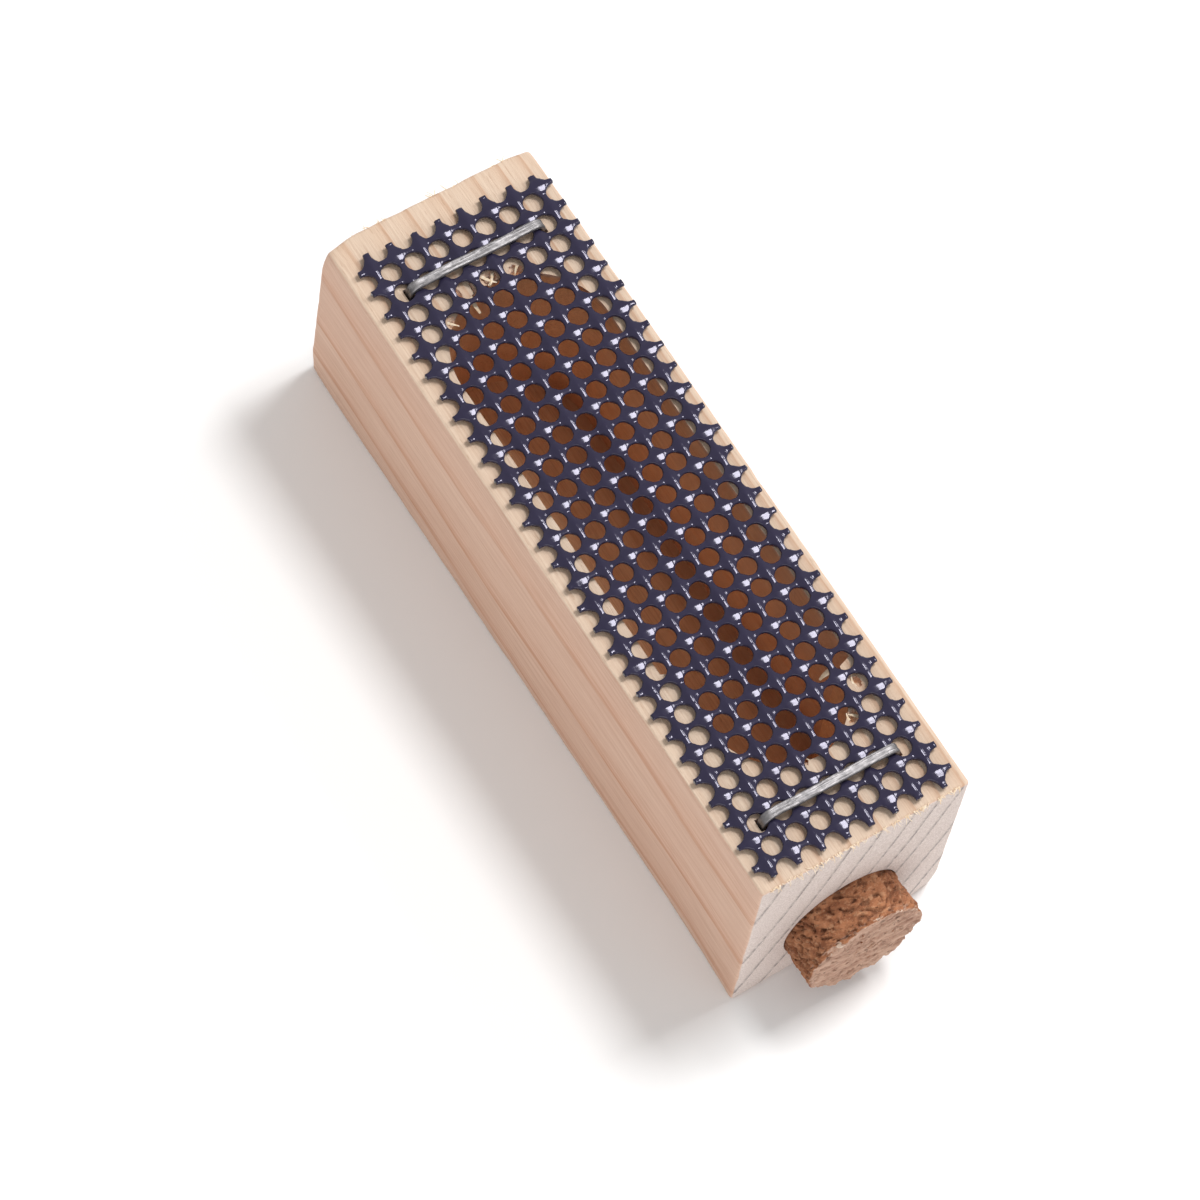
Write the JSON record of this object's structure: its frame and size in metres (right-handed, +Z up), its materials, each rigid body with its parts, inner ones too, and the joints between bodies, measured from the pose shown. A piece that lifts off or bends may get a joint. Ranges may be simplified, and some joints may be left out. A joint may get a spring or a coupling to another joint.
{
  "type": "queen cage",
  "caption": "Wooden block queen cage with a milled chamber, a stapled plastic-coated wire cloth screen, and a tapered cork that pulls out of the end entrance.",
  "frame": {"origin": "centre of the block's bottom face", "axes": "+Z up through the screen, +Y along the block away from the cork, +X across the block"},
  "size_m": [0.0278, 0.0988, 0.0303],
  "materials": {
    "pine": "sawn and lightly planed, unfinished, with end grain at the ends",
    "coated_cloth": "glossy dark blue-black plastic fused over woven wire",
    "staple_wire": "galvanised flat wire, lightly scuffed",
    "cork": "natural cork with dark pores and chipped rims"
  },
  "bodies": {
    "cage": {"block": "pine", "screen": "coated_cloth", "staple_near": "staple_wire", "staple_far": "staple_wire"},
    "cork": {"cork_plug": "cork"}
  },
  "joints": [
    {"name": "cork_pull", "type": "slide", "parent": "cage", "child": "cork", "axis": [0, -1, 0], "range_m": [0, 0.02]}
  ]
}
